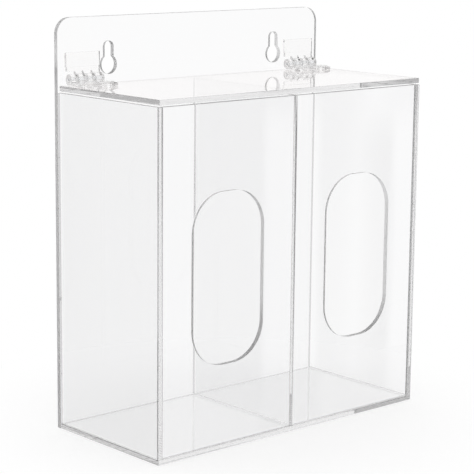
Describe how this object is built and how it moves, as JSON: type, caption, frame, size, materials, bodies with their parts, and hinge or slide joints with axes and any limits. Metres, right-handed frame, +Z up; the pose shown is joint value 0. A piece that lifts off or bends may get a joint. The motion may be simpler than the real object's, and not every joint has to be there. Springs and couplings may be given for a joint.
{
  "type": "glove dispenser",
  "caption": "Clear two-compartment wall box for disposable gloves or masks, with round-ended ports in front, a hinged lid and a tall back sheet with keyholes.",
  "frame": {"origin": "middle of the footprint, on the underside of the bottom sheet", "axes": "+Z up along the back sheet, the front with the ports faces -Y, +Y points to the wall, +X to the right seen from the front"},
  "size_m": [0.205, 0.094, 0.2415],
  "materials": {
    "acrylic_sheet": "clear cast sheet with polished edges",
    "lid_sheet": "clear cast sheet with polished edges",
    "moulded_hinge": "clear injection moulding",
    "hinge_pin": "clear drawn rod"
  },
  "bodies": {
    "box": {"bottom_panel": "acrylic_sheet", "back_panel": "acrylic_sheet", "left_side_panel": "acrylic_sheet", "right_side_panel": "acrylic_sheet", "front_panel": "acrylic_sheet", "divider": "acrylic_sheet", "left_hinge_wall_leaf": "moulded_hinge", "left_hinge_pin": "hinge_pin", "right_hinge_wall_leaf": "moulded_hinge", "right_hinge_pin": "hinge_pin"},
    "lid": {"lid": "lid_sheet", "left_hinge_lid_leaf": "moulded_hinge", "right_hinge_lid_leaf": "moulded_hinge"}
  },
  "joints": [
    {"name": "lid_hinge", "type": "hinge", "parent": "box", "child": "lid", "pos_m": [0, 0.0406, 0.2064], "axis": [-1, 0, 0], "range_deg": [0, 95]}
  ]
}
